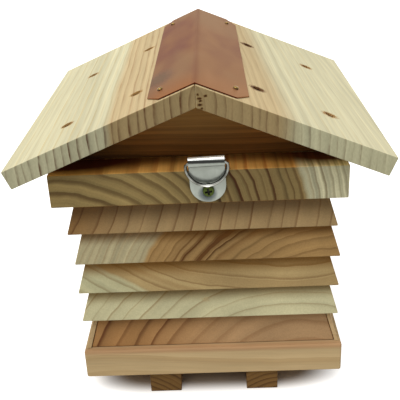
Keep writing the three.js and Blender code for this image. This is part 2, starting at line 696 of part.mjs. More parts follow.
const birdhouse = new THREE.Group();
const stack = new THREE.Group();
stack.position.y = STACK_Y;
birdhouse.add(stack);
addFeet(stack);
addBase(stack);
addLowestLift(stack);
addLifts(stack);
addEavesBoard(stack);
addHanger(stack);
const roof = new THREE.Group();
roof.position.z = ROOF_Z;
birdhouse.add(roof);
addGables(roof);
addBattens(roof);
addRoofBoards(roof);
addRoofScrews(roof);
addRidgeCap(roof);

export default birdhouse;
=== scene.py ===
import json
import math
import bmesh
import bpy
from mathutils import Matrix, Quaternion, Vector


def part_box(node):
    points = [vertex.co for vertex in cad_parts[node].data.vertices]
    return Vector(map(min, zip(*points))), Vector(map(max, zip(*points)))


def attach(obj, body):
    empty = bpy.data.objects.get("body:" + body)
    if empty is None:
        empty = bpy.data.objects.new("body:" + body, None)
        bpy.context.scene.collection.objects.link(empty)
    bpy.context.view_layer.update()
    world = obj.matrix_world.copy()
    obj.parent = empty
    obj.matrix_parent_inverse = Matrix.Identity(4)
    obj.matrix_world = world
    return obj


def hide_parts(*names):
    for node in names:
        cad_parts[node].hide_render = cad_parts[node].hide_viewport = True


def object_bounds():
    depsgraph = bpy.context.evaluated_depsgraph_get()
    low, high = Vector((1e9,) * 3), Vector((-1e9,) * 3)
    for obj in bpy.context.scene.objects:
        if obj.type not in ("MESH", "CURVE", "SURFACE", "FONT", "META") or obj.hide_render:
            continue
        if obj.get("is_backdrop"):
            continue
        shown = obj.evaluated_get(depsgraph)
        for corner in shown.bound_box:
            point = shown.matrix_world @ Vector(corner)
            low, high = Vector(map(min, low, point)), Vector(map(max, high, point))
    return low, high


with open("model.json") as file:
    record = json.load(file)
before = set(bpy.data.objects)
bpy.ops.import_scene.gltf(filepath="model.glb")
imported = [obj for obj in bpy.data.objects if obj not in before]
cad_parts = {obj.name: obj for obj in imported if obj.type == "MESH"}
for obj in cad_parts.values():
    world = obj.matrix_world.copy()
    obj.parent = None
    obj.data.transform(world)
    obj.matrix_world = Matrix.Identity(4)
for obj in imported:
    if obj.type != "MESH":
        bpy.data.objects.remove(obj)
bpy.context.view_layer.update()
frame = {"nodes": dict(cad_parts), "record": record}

# The camera stands about half a metre behind the birdhouse and looks down on the back of its
# roof. It is held slightly askew.
camera_lens = 64.56
camera_film = 36
camera_aim = Vector((0, -0.125, 0.171))
camera_distance = 0.4665
camera_pitch = math.radians(25.034)
camera_yaw = math.radians(1.464)
camera_roll = math.radians(-2.672)
camera = bpy.data.objects.new("camera", bpy.data.cameras.new("camera"))
bpy.context.collection.objects.link(camera)
camera.data.lens = camera_lens
camera.data.sensor_width = camera_film
camera.data.clip_start = 0.01
camera_back = Vector((
    math.sin(camera_yaw) * math.cos(camera_pitch),
    -math.cos(camera_yaw) * math.cos(camera_pitch),
    math.sin(camera_pitch),
))
camera.location = camera_aim + camera_back * camera_distance
camera_turn = camera_back.to_track_quat("Z", "Y") @ Quaternion((0, 0, 1), camera_roll)
camera.rotation_euler = camera_turn.to_euler()
bpy.context.scene.camera = camera

# The light tent: a white sky all round and one very soft lamp overhead, to the left and towards
# the camera. Both are at the level at which wood shows its own colour.
bpy.context.scene.view_settings.view_transform = "Standard"
sky_level = 0.435
lamp_level = 1.9
lamp_spread = math.radians(45)
lamp_direction = Vector((-0.25, -0.5, 1))


def cleared(owner):
    """A new material, or the tent, made ready for its own shading steps."""
    owner.use_nodes = True
    owner.node_tree.nodes.clear()
    return owner


def shade(material, kind, inputs, **settings):
    """One shading step of a material or of the tent. An input is a value or another's output."""
    tree = material.node_tree
    step = tree.nodes.new("ShaderNode" + kind)
    for name, value in settings.items():
        setattr(step, name, value)
    for name, value in inputs.items():
        if isinstance(value, bpy.types.NodeSocket):
            tree.links.new(value, step.inputs[name])
        else:
            step.inputs[name].default_value = value
    return step


def work_out(material, operation, *values):
    """Arithmetic on what varies over a surface."""
    return shade(material, "Math", dict(enumerate(values)), operation=operation).outputs[0]


def carry_over(material, value, low, high, to_low=0, to_high=1, course="LINEAR"):
    """A value that goes from low to high, turned into one that goes from to_low to to_high."""
    return shade(material, "MapRange", {
        "Value": value,
        "From Min": low,
        "From Max": high,
        "To Min": to_low,
        "To Max": to_high,
    }, interpolation_type=course).outputs["Result"]


def seen_or_mirrored(material, plain, seen):
    """One level for light that falls on things, another for what is seen or mirrored."""
    path = shade(material, "LightPath", {}).outputs
    shown = work_out(material, "MAXIMUM", path["Is Camera Ray"], path["Is Glossy Ray"])
    shown = work_out(material, "MAXIMUM", shown, path["Is Transmission Ray"])
    return carry_over(material, shown, 0, 1, plain, seen)


tent = cleared(bpy.data.worlds.new("light_tent"))
tent_white = shade(tent, "Background", {
    "Color": (1, 1, 1, 1),
    "Strength": seen_or_mirrored(tent, sky_level, 1),
})
shade(tent, "OutputWorld", {"Surface": tent_white.outputs[0]})
bpy.context.scene.world = tent

overhead = bpy.data.objects.new("overhead", bpy.data.lights.new("overhead", "SUN"))
bpy.context.collection.objects.link(overhead)
overhead.data.energy = lamp_level
overhead.data.angle = lamp_spread
overhead.rotation_euler = lamp_direction.to_track_quat("Z", "Y").to_euler()

# The table: a wide sheet of white paper, which keeps the shadow of what stands on it. Under the
# birdhouse it is painted brown, as painted shade. Away from the birdhouse it glows, as painted
# light, and so runs into the white of the tent.
sheet_reach = 6
shadow_half = Vector((0.234, 0.351, 0))  # as a share of the base
shadow_sideways = 0.5  # it fades more slowly to the sides than to the back
shadow_ends = (0.012, 0.034)
# painted shade: under the birdhouse the paper is brown and darker
paper_shade_brown = (0.45, 0.37, 0.29)  # under the birdhouse
paper_lift = (0.27, 0.34, 0.39)  # what the open paper has on top of that
# painted light: the open paper glows where it is seen, so that its shadow ends close by
paper_seen = 0.9


def place_on(material):
    """The places on an object, in its own metres."""
    return shade(material, "TexCoord", {}).outputs["Object"]


def work_out_vector(material, operation, *values):
    """Arithmetic on places, directions and colours."""
    return shade(material, "VectorMath", dict(enumerate(values)), operation=operation).outputs[0]


def measure(material, operation, *values):
    """The length of one direction, or the dot product of two."""
    step = shade(material, "VectorMath", dict(enumerate(values)), operation=operation)
    return step.outputs["Value"]


low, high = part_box("base_board")
base_middle = (low + high).to_2d().to_3d() / 2
paper = cleared(bpy.data.materials.new("paper"))
past_shadow = work_out_vector(paper, "SUBTRACT", place_on(paper), base_middle)
past_shadow = work_out_vector(paper, "ABSOLUTE", past_shadow)
past_shadow = work_out_vector(paper, "SUBTRACT", past_shadow, (high - low) * shadow_half)
past_shadow = work_out_vector(paper, "MAXIMUM", past_shadow, (0, 0, 0))
past_shadow = work_out_vector(paper, "MULTIPLY", past_shadow, (shadow_sideways, 1, 1))
past_shadow = measure(paper, "LENGTH", past_shadow)
paper_open = carry_over(paper, past_shadow, *shadow_ends, course="SMOOTHSTEP")
paper_matt = shade(paper, "BsdfDiffuse", {
    "Color": work_out_vector(paper, "MULTIPLY_ADD", paper_open, paper_lift, paper_shade_brown),
})
paper_light = shade(paper, "Emission", {
    "Strength": work_out(paper, "MULTIPLY", paper_open, seen_or_mirrored(paper, 0, paper_seen)),
})
paper_both = shade(paper, "AddShader", {0: paper_matt.outputs[0], 1: paper_light.outputs[0]})
shade(paper, "OutputMaterial", {"Surface": paper_both.outputs[0]})

sheet_mesh = bmesh.new()
bmesh.ops.create_grid(sheet_mesh, x_segments=1, y_segments=1, size=sheet_reach)
sheet = bpy.data.objects.new("paper_sheet", bpy.data.meshes.new("paper_sheet"))
sheet_mesh.to_mesh(sheet.data)
sheet_mesh.free()
bpy.context.collection.objects.link(sheet)
sheet.data.materials.append(paper)
sheet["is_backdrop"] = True

# The two feet: square battens of brown softwood, sawn off square and screwed up into the base
# from below. All the wood of the birdhouse is bare. Its growth rings are tubes round the pith of
# each tree, so the ends and the sides of a board show the same rings.
foot_ends = ("74562f", "40260e")
foot_sides = ("82603a", "54371b")


def tint(code):
    """A colour from its six-figure code, as the shading wants it."""
    shares = [int(code[i:i + 2], 16) / 255 for i in (0, 2, 4)]
    return [s / 12.92 if s < 0.04 else ((s + 0.055) / 1.055) ** 2.4 for s in shares] + [1]


def facing(material):
    """The direction in which each spot of a surface faces."""
    return shade(material, "TexCoord", {}).outputs["Normal"]


def mix(material, share, first, second, how="MIX"):
    """Two colours mixed by a share that varies over the surface. This kind of step has inputs for
    several kinds of value, and those for colours are known only by their numbers."""
    inputs = {0: share, 6: first, 7: second}
    return shade(material, "Mix", inputs, data_type="RGBA", blend_type=how).outputs[2]


def apart(material, vector):
    """The three parts of a place or a direction."""
    return shade(material, "SeparateXYZ", {0: vector}).outputs


def joined(material, x, y, z=0.0):
    """A place put together from its three parts."""
    return shade(material, "CombineXYZ", {0: x, 1: y, 2: z}).outputs[0]


def cloud(material, place, scale, detail=2):
    """Soft uneven clouds between 0 and 1."""
    return shade(material, "TexNoise", {
        "Vector": place,
        "Scale": scale,
        "Detail": detail,
    }).outputs["Fac"]


def unsettle(material, place, cause, scale, detail, strength):
    """A place moved about by clouds that follow cause, as far as strength says on each axis."""
    push = shade(material, "TexNoise", {
        "Vector": cause,
        "Scale": scale,
        "Detail": detail,
    }).outputs["Color"]
    return work_out_vector(material, "MULTIPLY_ADD", push, strength, place)


def mottle(material, colour, cause, amount):
    """The same colour, a little lighter and darker from place to place."""
    level = carry_over(material, cause, 0.25, 0.75, 1 - amount / 2, 1 + amount / 2)
    return mix(material, 1.0, colour, joined(material, level, level, level), "MULTIPLY")


def gap_from(material, middle, reach):
    """How far a spot is from the middle of a patch, in units of how far the patch reaches."""
    about_middle = shade(material, "Mapping", {
        "Vector": place_on(material),
        "Location": middle,
        "Scale": reach,
    }, vector_type="TEXTURE")
    return measure(material, "LENGTH", about_middle.outputs[0])


def marked(material, colour, middle, reach, rim, core, ragged=1.2):
    """A small ragged mark on a surface, such as a knot or a torn hole, with a rim and a core of
    two colours."""
    uneven = cloud(material, place_on(material), scale=800)
    uneven = carry_over(material, uneven, 0, 1, -ragged / 2, ragged / 2)
    gap = work_out(material, "ADD", gap_from(material, middle, reach), uneven)
    in_rim = carry_over(material, gap, 0.75, 1.1, 0.9, 0)
    in_core = carry_over(material, gap, 0.45, 0.7, 1, 0)
    return mix(material, in_core, mix(material, in_rim, colour, tint(rim)), tint(core))


def painted_shading(material, colour, middle, reach, code, strength, patch_end_y):
    """A soft patch of painted light and shade in another colour, which goes no further in along
    Y than patch_end_y.
    """
    heart = 0.2  # the share of its reach over which a patch has its full strength
    edge = 0.001
    share = gap_from(material, middle, reach)
    share = carry_over(material, share, heart, 1, strength, 0, "SMOOTHSTEP")
    if patch_end_y:
        inwards = apart(material, place_on(material))["Y"]
        bare = carry_over(material, inwards, patch_end_y, patch_end_y + edge, 1, 0)
        share = work_out(material, "MULTIPLY", share, bare)
    return mix(material, share, colour, tint(code))


def ring_by_ring(wood, rings, scale, detail):
    """Clouds between 0 and 1 that differ only from one ring to the next."""
    return shade(wood, "TexNoise", {
        "W": rings,
        "Scale": scale,
        "Detail": detail,
    }, noise_dimensions="1D").outputs["Fac"]


def growth(wood, pith, ring, narrowing, along, turn, lean, tall, drift, wobble, flow, seed):
    """Where a spot was in its tree: its place in the trunk, its radius, age and band of rings."""
    drift_scale, wobble_scale = 16, 95
    fibre_flow = 0.02
    about_pith = shade(wood, "Mapping", {
        "Vector": place_on(wood),
        "Location": pith,
        "Rotation": [math.radians(a) for a in turn],
        "Scale": (1, 1, tall),
    }, vector_type="TEXTURE").outputs[0]
    parts = apart(wood, about_pith)
    across, length = (parts["X"], parts["Y"]) if along == "Y" else (parts["Y"], parts["X"])
    up = work_out(wood, "MULTIPLY_ADD", across, lean, parts["Z"])
    trunk = joined(wood, across, up, work_out(wood, "MULTIPLY_ADD", length, flow, seed))
    section = joined(wood, across, up)
    for scale, size in ((drift_scale, drift), (wobble_scale, wobble)):
        strength = (2 * size, 2 * size, 0)
        section = unsettle(wood, section, trunk, scale, detail=1.5, strength=strength)
    radius = measure(wood, "LENGTH", section)
    rings = work_out(wood, "MULTIPLY_ADD", radius, narrowing / ring, 1 / ring)
    rings = work_out(wood, "MULTIPLY", radius, rings)
    years = ring_by_ring(wood, rings, scale=0.35, detail=1)
    hair = work_out(wood, "MULTIPLY_ADD", length, fibre_flow, seed)
    return {
        "trunk": trunk,
        "fibres": joined(wood, across, up, hair),
        "radius": radius,
        "age": work_out(wood, "ADD", rings, years),
        "bands": ring_by_ring(wood, rings, scale=1.1, detail=3),
    }


def late_wood(wood, grown, line, width, strongest, faint, soaked, torn):
    """How far a spot lies in the dark wood that grows at the end of each summer, from 0 to 1."""
    summer_end = 0.97
    weakest_ring = 0.45
    close_enough = 0.4  # of the spread about the strongest rings
    autumn = shade(wood, "ValToRGB", {"Fac": work_out(wood, "FRACT", grown["age"])})
    stops = autumn.color_ramp.elements
    stops[0].color = stops[1].color = (0, 0, 0, 1)
    for place, grey in (
        (0.5, 0.04),
        (summer_end - 2 * width, 0.2),
        (summer_end - 0.5 * width, 1),
        (summer_end, 0.9),
    ):
        stops.new(place).color = (grey, grey, grey, 1)
    autumn = autumn.outputs["Color"]
    year = work_out(wood, "FLOOR", grown["age"])
    strength = shade(wood, "TexWhiteNoise", {"W": year}, noise_dimensions="1D").outputs["Value"]
    strength = carry_over(wood, strength, 0, 1, weakest_ring * line, line)
    if torn:
        tears = cloud(wood, grown["trunk"], scale=260, detail=3)
        tears = carry_over(wood, tears, 0.35, 0.6, 1 - torn, 1)
        strength = work_out(wood, "MULTIPLY", strength, tears)
    if not strongest:
        return work_out(wood, "MULTIPLY", autumn, strength)
    radius, spread = strongest
    away = work_out(wood, "SUBTRACT", grown["radius"], radius)
    away = work_out(wood, "ABSOLUTE", away)
    close = carry_over(wood, away, spread, close_enough * spread, course="SMOOTHSTEP")
    strength = work_out(wood, "MULTIPLY", strength, carry_over(wood, close, 0, 1, faint, 1))
    resin = carry_over(wood, grown["bands"], 0.4, 0.62, 0, soaked)
    resin = work_out(wood, "MULTIPLY", close, resin)
    return work_out(wood, "MAXIMUM", work_out(wood, "MULTIPLY", autumn, strength), resin)


def finish_surface(material, skin, height, strength, depth):
    """The last steps of a material: its fine relief, and the skin that the light falls on."""
    relief = shade(material, "Bump", {"Height": height, "Strength": strength, "Distance": depth})
    skin = shade(material, "BsdfPrincipled", {**skin, "Normal": relief.outputs[0]})
    shade(material, "OutputMaterial", {"Surface": skin.outputs[0]})
    return material


def softwood(
    name, pith, ring, ends, sides, outer_ends=None, outer_sides=None, outer=None, fade=0.003,
    narrowing=0, along="Y", turn=(0, 0, 0), lean=0, tall=1,
    drift=0.004, wobble=0.0008, flow=0.12, seed=0,
    line=0.85, width=0.1, strongest=None, faint=0.4, soaked=0, torn=0,
    knots=(), shading_patches=(), patch_end_y=None, clouds=0.25, bands=0.2,
):
    """Bare planed softwood. pith is a point on the tree's middle line, which runs along Y or X and
    is turned by a few degrees. The rings are ring wide at the pith and get narrower outwards where
    narrowing is more than 0. lean and tall slant and stretch them, drift and wobble are their
    large and small unevenness, and flow is how fast that changes along the tree.

    ends and sides are the pale and the dark colour of the rings on end grain and on long grain.
    Beyond the radius outer they become outer_ends and outer_sides, over the distance fade. line
    and width are the darkness and the width of the late wood, and torn is how broken it is. It is
    darkest about the radius strongest, where the wood between is soaked with resin, and faint
    elsewhere.

    Each of the shading_patches is a soft patch of painted light and shade: its middle, reach,
    colour and strength, which is over 1 where the patch ends more sharply. None goes further in
    along Y than patch_end_y. clouds and bands are how much the colour varies by place and by ring."""
    wood = cleared(bpy.data.materials.new(name))
    grown = growth(wood, pith, ring, narrowing, along, turn, lean, tall, drift, wobble, flow, seed)
    late = late_wood(wood, grown, line, width, strongest, faint, soaked, torn)
    endways = work_out(wood, "ABSOLUTE", apart(wood, facing(wood))[along])
    is_end = carry_over(wood, endways, 0.5, 0.85)
    tones = [mix(wood, is_end, tint(side), tint(end)) for side, end in zip(sides, ends)]
    if outer:
        low, high = outer - fade, outer + fade
        is_outer = carry_over(wood, grown["radius"], low, high, course="SMOOTHSTEP")
        tones = [
            mix(wood, is_outer, tone, mix(wood, is_end, tint(side), tint(end)))
            for tone, side, end in zip(tones, outer_sides, outer_ends)
        ]
    colour = mix(wood, late, *tones)
    # painted light and shade, patch by patch
    for patch in shading_patches:
        colour = painted_shading(wood, colour, *patch, patch_end_y)
    for knot in knots:
        colour = marked(wood, colour, *knot)
    fibres = cloud(wood, grown["fibres"], scale=1100)
    colour = mottle(wood, colour, fibres, amount=0.16)
    colour = mottle(wood, colour, grown["bands"], bands)
    colour = mottle(wood, colour, cloud(wood, grown["trunk"], scale=28, detail=3), clouds)
    height = work_out(wood, "MULTIPLY_ADD", late, 0.5, fibres)
    return finish_surface(wood, {
        "Base Color": colour,
        "Roughness": carry_over(wood, late, 0, 1, 0.72, 0.58),
        "Specular IOR Level": 0.1,
    }, height, strength=0.35, depth=0.0002)


body_names = {
    node: body for body, nodes in frame["record"]["behaviour"]["bodies"].items() for node in nodes
}


def worked(name, material, easing=None, shortest=0.012, corner=0.5):
    """A piece as it leaves the bench: its solid, with every arris that is longer than shortest
    and sharper than corner eased. Turned and drawn metal has no arrises to ease."""
    same_spot = 0.00001
    flat = 0.02
    crease = 0.7
    mesh = bmesh.new()
    mesh.from_mesh(frame["nodes"][name].data)
    bmesh.ops.remove_doubles(mesh, verts=mesh.verts, dist=same_spot)
    bmesh.ops.dissolve_limit(mesh, angle_limit=flat, verts=mesh.verts, edges=mesh.edges)
    if easing:
        arrises = [
            e for e in mesh.edges
            if e.is_manifold and e.calc_face_angle() > corner and e.calc_length() > shortest
        ]
        bmesh.ops.bevel(
            mesh, geom=arrises, offset=easing, segments=3, profile=0.5, affect="EDGES",
            material=-1,
        )
    for face in mesh.faces:
        face.smooth = True
    for edge in mesh.edges:
        edge.smooth = not (edge.is_manifold and edge.calc_face_angle() > crease)
    piece = bpy.data.objects.new(name + "_worked", bpy.data.meshes.new(name + "_worked"))
    mesh.to_mesh(piece.data)
    mesh.free()
    bpy.context.collection.objects.link(piece)
    piece.modifiers.new("flat_faces", "WEIGHTED_NORMAL").keep_sharp = True
    piece.data.materials.append(material)
    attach(piece, body_names[name])
    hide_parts(name)
    return piece


for side, name in ((-1, "left"), (1, "right")):
    foot_pith = (0.005 + 0.06 * side, 0, -0.03)
    foot_wood = softwood(
        f"foot_{name}_wood", foot_pith, 0.0045, foot_ends, foot_sides, seed=1 + side, width=0.2,
    )
    worked(f"foot_{name}", foot_wood, easing=0.0006)

# The base: one planed board with its grain across the birdhouse and its corners sanded round.
# A darker, pinker band along its upper edge at the back is painted shade, under the lowest lift.
low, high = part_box("base_board")
base_wood = softwood(
    "base_wood", (0, -0.2, -0.09), 0.0105, ("a88a60", "8a6c46"), ("c3a97e", "a3855a"),
    along="X", turn=(0, 1.5, 0), seed=3, line=0.5, width=0.35, drift=0.007, flow=0.5,
    clouds=0.15, shading_patches=[((0, low.y, high.z), (0.5, 0.009, 0.005), "ae845e", 0.75)],
)
worked("base_board", base_wood, easing=0.0016)

# The lowest lift: a red-brown board between two thin tan strips that make up its width.
planed = 0.0008  # how far a plane takes back the arrises of a lift
lift_5_wood = softwood(
    "lift_5_wood", (0.078, 0, -0.016), 0.0125, ("a3835e", "7c522e"), ("ab7c4c", "7b4d28"),
    ("9e7548", "593018"), ("9c6e44", "6c3d20"), outer=0.11, fade=0.04,
    seed=4, line=1, width=0.14, strongest=(0.150, 0.045), faint=0.35, drift=0.006,
)
worked("lift_5", lift_5_wood, planed)
cheek_wood = softwood(
    "cheek_wood", (0, 0, -0.4), 0.009, ("b3986f", "9c7e58"), ("b89c70", "a07f56"), seed=5,
)
worked("lift_5_cheek_left", cheek_wood, easing=0.0004)
worked("lift_5_cheek_right", cheek_wood, easing=0.0004)

# The four upper lifts: each one board with splayed edges, its end grain to the back and a square
# opening sawn out of its middle. Each comes from another tree, and has painted shade along its
# top, where the one above laps over it.


def lap_shade(name, reach, code, strength):
    """The painted shade along the top of a lift, as a list of one patch."""
    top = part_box(name)[1].z
    all_round = 2  # so far that only the height counts
    return [((0, 0, top), (all_round, all_round, reach), code, strength)]


lift_4_knot = ((0.0005, -0.106, 0.081), (0.004, 0.004, 0.003), "b3a074", "a48c60")
lift_4_wood = softwood(
    "lift_4_wood", (0.065, 0, -0.027), 0.0095, ("c1ba93", "84683e"), ("c4b283", "a08a5c"),
    seed=6, line=0.65, width=0.07, bands=0.15,
    shading_patches=lap_shade("lift_4", 0.0135, "755822", 0.75), knots=[lift_4_knot],
)
worked("lift_4", lift_4_wood, planed)
lift_3_wood = softwood(
    "lift_3_wood", (0.06, 0, 0.34), 0.009, ("b09869", "623f1a"), ("b08e5a", "86633a"),
    ("b9b48d", "7f6b45"), ("c2b588", "a3925f"), outer=0.262, fade=0.002,
    seed=7, line=0.9, width=0.12, strongest=(0.25, 0.024), faint=0.7, soaked=0.35,
    shading_patches=lap_shade("lift_3", 0.015, "7c5216", 0.8),
)
worked("lift_3", lift_3_wood, planed)
lift_2_wood = softwood(
    "lift_2_wood", (0.098, 0, 0.038), 0.0177, ("9b7b4d", "472507"), ("a67d46", "67431f"),
    ("aa9f7c", "806238"), ("bcac80", "987f55"), outer=0.1585, fade=0.002, narrowing=7.7,
    seed=8, line=1, width=0.14, strongest=(0.129, 0.019), faint=0.45, soaked=0.9,
    wobble=0.0014, bands=0.35, shading_patches=lap_shade("lift_2", 0.012, "6c420e", 0.7),
)
worked("lift_2", lift_2_wood, planed)
lift_1_wood = softwood(
    "lift_1_wood", (-0.16, 0, 0.195), 0.0105, ("896539", "4e2810"), ("9c7e50", "74502d"),
    ("9c835b", "5c381c"), ("9c7e50", "74502d"), outer=0.1, fade=0.03,
    seed=9, line=0.8, width=0.07, drift=0.002, bands=0.15,
    shading_patches=lap_shade("lift_1", 0.021, "4a3520", 0.6),
)
worked("lift_1", lift_1_wood, planed)

# The eaves board: thicker to the eye than the lifts because its sides are square. The right side
# of its back is pale sapwood, and its upper face is a warm orange brown, with painted shade in
# front of the gable, where the roof shades it, most of all at the two ends.
low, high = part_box("eaves_board")
gable_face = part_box("gable_back")[0].y
roof_shade_patches = (
    ((0, gable_face, high.z), (0.5, 0.018, 0.006), "3c1606", 0.65),
    ((low.x + 0.004, gable_face, high.z), (0.085, 0.031, 0.012), "441a06", 1.6),
    ((high.x - 0.012, gable_face, high.z), (0.05, 0.027, 0.012), "562c10", 1.4),
)
eaves_wood = softwood(
    "eaves_wood", (-0.116, 0, 0.085), 0.0425, ("8d794d", "371602"), ("d3a055", "a1642c"),
    ("bbb695", "5b4726"), ("f0dca8", "7a5a30"), outer=0.196, fade=0.002, narrowing=20, lean=-0.3,
    seed=10, line=1, width=0.3, strongest=(0.172, 0.045), faint=0.65, soaked=0.4,
    drift=0.007, wobble=0.001, bands=0.7, shading_patches=roof_shade_patches, patch_end_y=gable_face,
)
worked("eaves_board", eaves_wood, planed)

# The screws that hold the stack together, from above into the lifts and from below through the
# feet: countersunk, yellow-passivated zinc, each with a cross recess.


def fine_metal(
    name, colour, patch, rough, shine=1.0, gloss=0.5, stain_scale=60, brushed=0.2, marks=(),
    painted_underside_shade=None, inner_painted_reflection=None, bow=None,
):
    """Metal with a soft brushed grain, clouded with a second colour where it has weathered. It
    can have painted shade on its underside. It can have a painted dark reflection on the inside of
    a bend round the point bow."""
    brush_marks = (900, 900, 90)  # fine across, and ten times as long up and down
    metal = cleared(bpy.data.materials.new(name))
    place = place_on(metal)
    patches = cloud(metal, place, stain_scale, detail=4)
    base = mix(metal, carry_over(metal, patches, 0.35, 0.65), tint(colour), tint(patch))
    for mark in marks:
        base = marked(metal, base, *mark, ragged=0.2)
    if painted_underside_shade:
        raised = measure(metal, "DOT_PRODUCT", facing(metal), (0, 0.5, 0.85))
        base = mix(metal, carry_over(metal, raised, -0.25, 0.5, 1, 0), base, tint(painted_underside_shade))
    if inner_painted_reflection:
        inward = work_out_vector(metal, "SUBTRACT", bow, place)
        inward = work_out_vector(metal, "NORMALIZE", inward)
        inward = measure(metal, "DOT_PRODUCT", facing(metal), inward)
        base = mix(metal, carry_over(metal, inward, 0.1, 0.5), base, tint(inner_painted_reflection))
    lines = shade(metal, "Mapping", {"Vector": place, "Scale": brush_marks}).outputs[0]
    grain = cloud(metal, lines, scale=1)
    uneven = brushed / 4
    return finish_surface(metal, {
        "Base Color": mottle(metal, base, grain, brushed / 2),
        "Metallic": shine,
        "Specular IOR Level": gloss,
        "Roughness": carry_over(metal, grain, 0.2, 0.8, rough - uneven, rough + uneven),
    }, grain, strength=0.2, depth=0.0001)


# The dark of the cross recesses is painted shade.
recess_painted_shade = fine_metal("recess_painted_shade", "1d1c14", "2c2a1c", 0.6, shine=0.4, stain_scale=500)


def sunk_cross(piece, middle, out, reach, depth, turned=0):
    """The cross recess of a screw head, cut in from the point middle. out is the way it faces."""
    blade_width = 0.6  # of the reach
    taper = 0.6  # from the mouth to the bottom
    cutter = bmesh.new()
    for quarter in (0, math.pi / 2):
        blade = bmesh.ops.create_cube(cutter, size=1)["verts"]
        bmesh.ops.scale(cutter, vec=(2 * reach, blade_width * reach, 2 * depth), verts=blade)
        for vert in blade:
            if vert.co.z < 0:
                vert.co.xy *= taper
        bmesh.ops.rotate(cutter, verts=blade, matrix=Matrix.Rotation(turned + quarter, 3, "Z"))
    placed = Matrix.Translation(middle) @ out.to_track_quat("Z", "Y").to_matrix().to_4x4()
    bmesh.ops.transform(cutter, matrix=placed, verts=cutter.verts)
    tool = bpy.data.objects.new("cross_driver", bpy.data.meshes.new("cross_driver"))
    cutter.to_mesh(tool.data)
    cutter.free()
    tool.data.materials.append(recess_painted_shade)
    bpy.context.collection.objects.link(tool)
    cut = piece.modifiers.new("cross_recess", "BOOLEAN")
    cut.operation = "DIFFERENCE"
    cut.solver = "EXACT"
    cut.use_self = True
    cut.material_mode = "TRANSFER"
    cut.object = tool
    bpy.context.view_layer.update()
    shape = piece.evaluated_get(bpy.context.evaluated_depsgraph_get())
    finished = bpy.data.meshes.new_from_object(shape)
    piece.modifiers.clear()
    piece.data = finished
    bpy.data.objects.remove(tool)


stack_zinc = fine_metal("stack_zinc", "b5a878", "9c8e5e", 0.32)
for name in [n for n in frame["nodes"] if n.startswith(("eaves_screw", "foot_screw"))]:
    low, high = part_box(name)
    head = (low + high) / 2
    if name.startswith("eaves"):
        head.z, out = high.z, Vector((0, 0, 1))
    else:
        head.z, out = low.z, Vector((0, 0, -1))
    sunk_cross(worked(name, stack_zinc), head, out, reach=0.0022, depth=0.0018)

# The hanger: a strap of dull zinc-plated steel, doubled over at the top round the bar of a ring
# and rounded at the bottom, where one screw holds it to the back of the eaves board. A highlight
# is painted along the fold, a dark reflection below it, and a shadow about the screw.
low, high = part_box("hanger_plate")
strap_top = Vector(((low.x + high.x) / 2, low.y, high.z))
low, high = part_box("hanger_screw")
pan_middle = Vector(((low.x + high.x) / 2, low.y, (low.z + high.z) / 2))
fold_painted_highlight = strap_top - Vector((0, 0, 0.0008))
bend_painted_reflection = strap_top - Vector((0, 0, 0.0031))
screw_painted_shadow = pan_middle - Vector((0.0006, 0, 0.0024))
dull_zinc = fine_metal(
    "dull_zinc", "9ca198", "8b9087", 0.3, shine=0.6, stain_scale=90, brushed=0.12,
    marks=(
        # painted highlight, painted dark reflection and painted shadow
        (fold_painted_highlight, (0.05, 0.004, 0.0016), "eef2ee", "f6f8f6"),
        (bend_painted_reflection, (0.05, 0.004, 0.0014), "4c4e48", "1c1d1a"),
        (screw_painted_shadow, (0.0066, 0.009, 0.0062), "565d5c", "1a2226"),
    ),
)
worked("hanger_plate", dull_zinc, easing=0.00035, shortest=0.0003)

# The ring: bent from bright round wire to a D, with its two ends welded in the middle of the bow,
# where a highlight is painted. A dark reflection is painted on the inside of the bend.
low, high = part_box("hanger_ring")
ring_painted_highlight = Vector(((low.x + high.x) / 2, low.y, low.z))
bright_wire = fine_metal(
    "bright_wire", "9c9d96", "585852", 0.14, stain_scale=150, brushed=0.08,
    inner_painted_reflection="1c1b16", bow=(low + high) / 2,
    marks=[(ring_painted_highlight, (0.0055, 0.006, 0.0028), "c4c5be", "f2f2ee")],
)
worked("hanger_ring", bright_wire)

# The hanger's screw: a pan head in yellow-passivated zinc with a cross recess, and painted shade
# on its lower side.
yellow_zinc = fine_metal(
    "yellow_zinc", "787d3a", "4c562a", 0.25, stain_scale=220, painted_underside_shade="3c4620",
)
pan_screw = worked("hanger_screw", yellow_zinc)
sunk_cross(pan_screw, pan_middle, Vector((0, -1, 0)), reach=0.0031, depth=0.002, turned=0.15)

# The two gables, which carry the roof, and the battens that hold it in place. The gables have
# painted shade at their lower corners and along their foot, and painted light under the ridge.
low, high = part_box("gable_back")
gable_wood = softwood(
    "gable_wood", (0, -0.12, -0.08), 0.0038, ("5c3a1c", "3a210c"), ("7c5123", "4a2a0c"),
    along="X", turn=(0, 0.6, 0), seed=11, line=0.6, width=0.2, flow=0.3, bands=0.5,
    shading_patches=(
        ((0, 0, 0.222), (0.06, 0.5, 0.034), "92703f", 0.75),
        ((low.x, 0, low.z), (0.075, 0.5, 0.03), "140802", 0.85),
        ((high.x, 0, low.z), (0.075, 0.5, 0.03), "240e04", 0.4),
        ((0, 0, low.z), (0.5, 0.5, 0.006), "2a1004", 0.35),
    ),
)
worked("gable_back", gable_wood, easing=0.0006)
worked("gable_front", gable_wood, easing=0.0006)
batten_wood = softwood(
    "batten_wood", (0, 0.3, 0.1), 0.004, ("a89064", "806540"), ("c2a877", "a3855a"),
    along="X", seed=12,
)
worked("locating_batten_back", batten_wood, easing=0.0005)
worked("locating_batten_front", batten_wood, easing=0.0005)

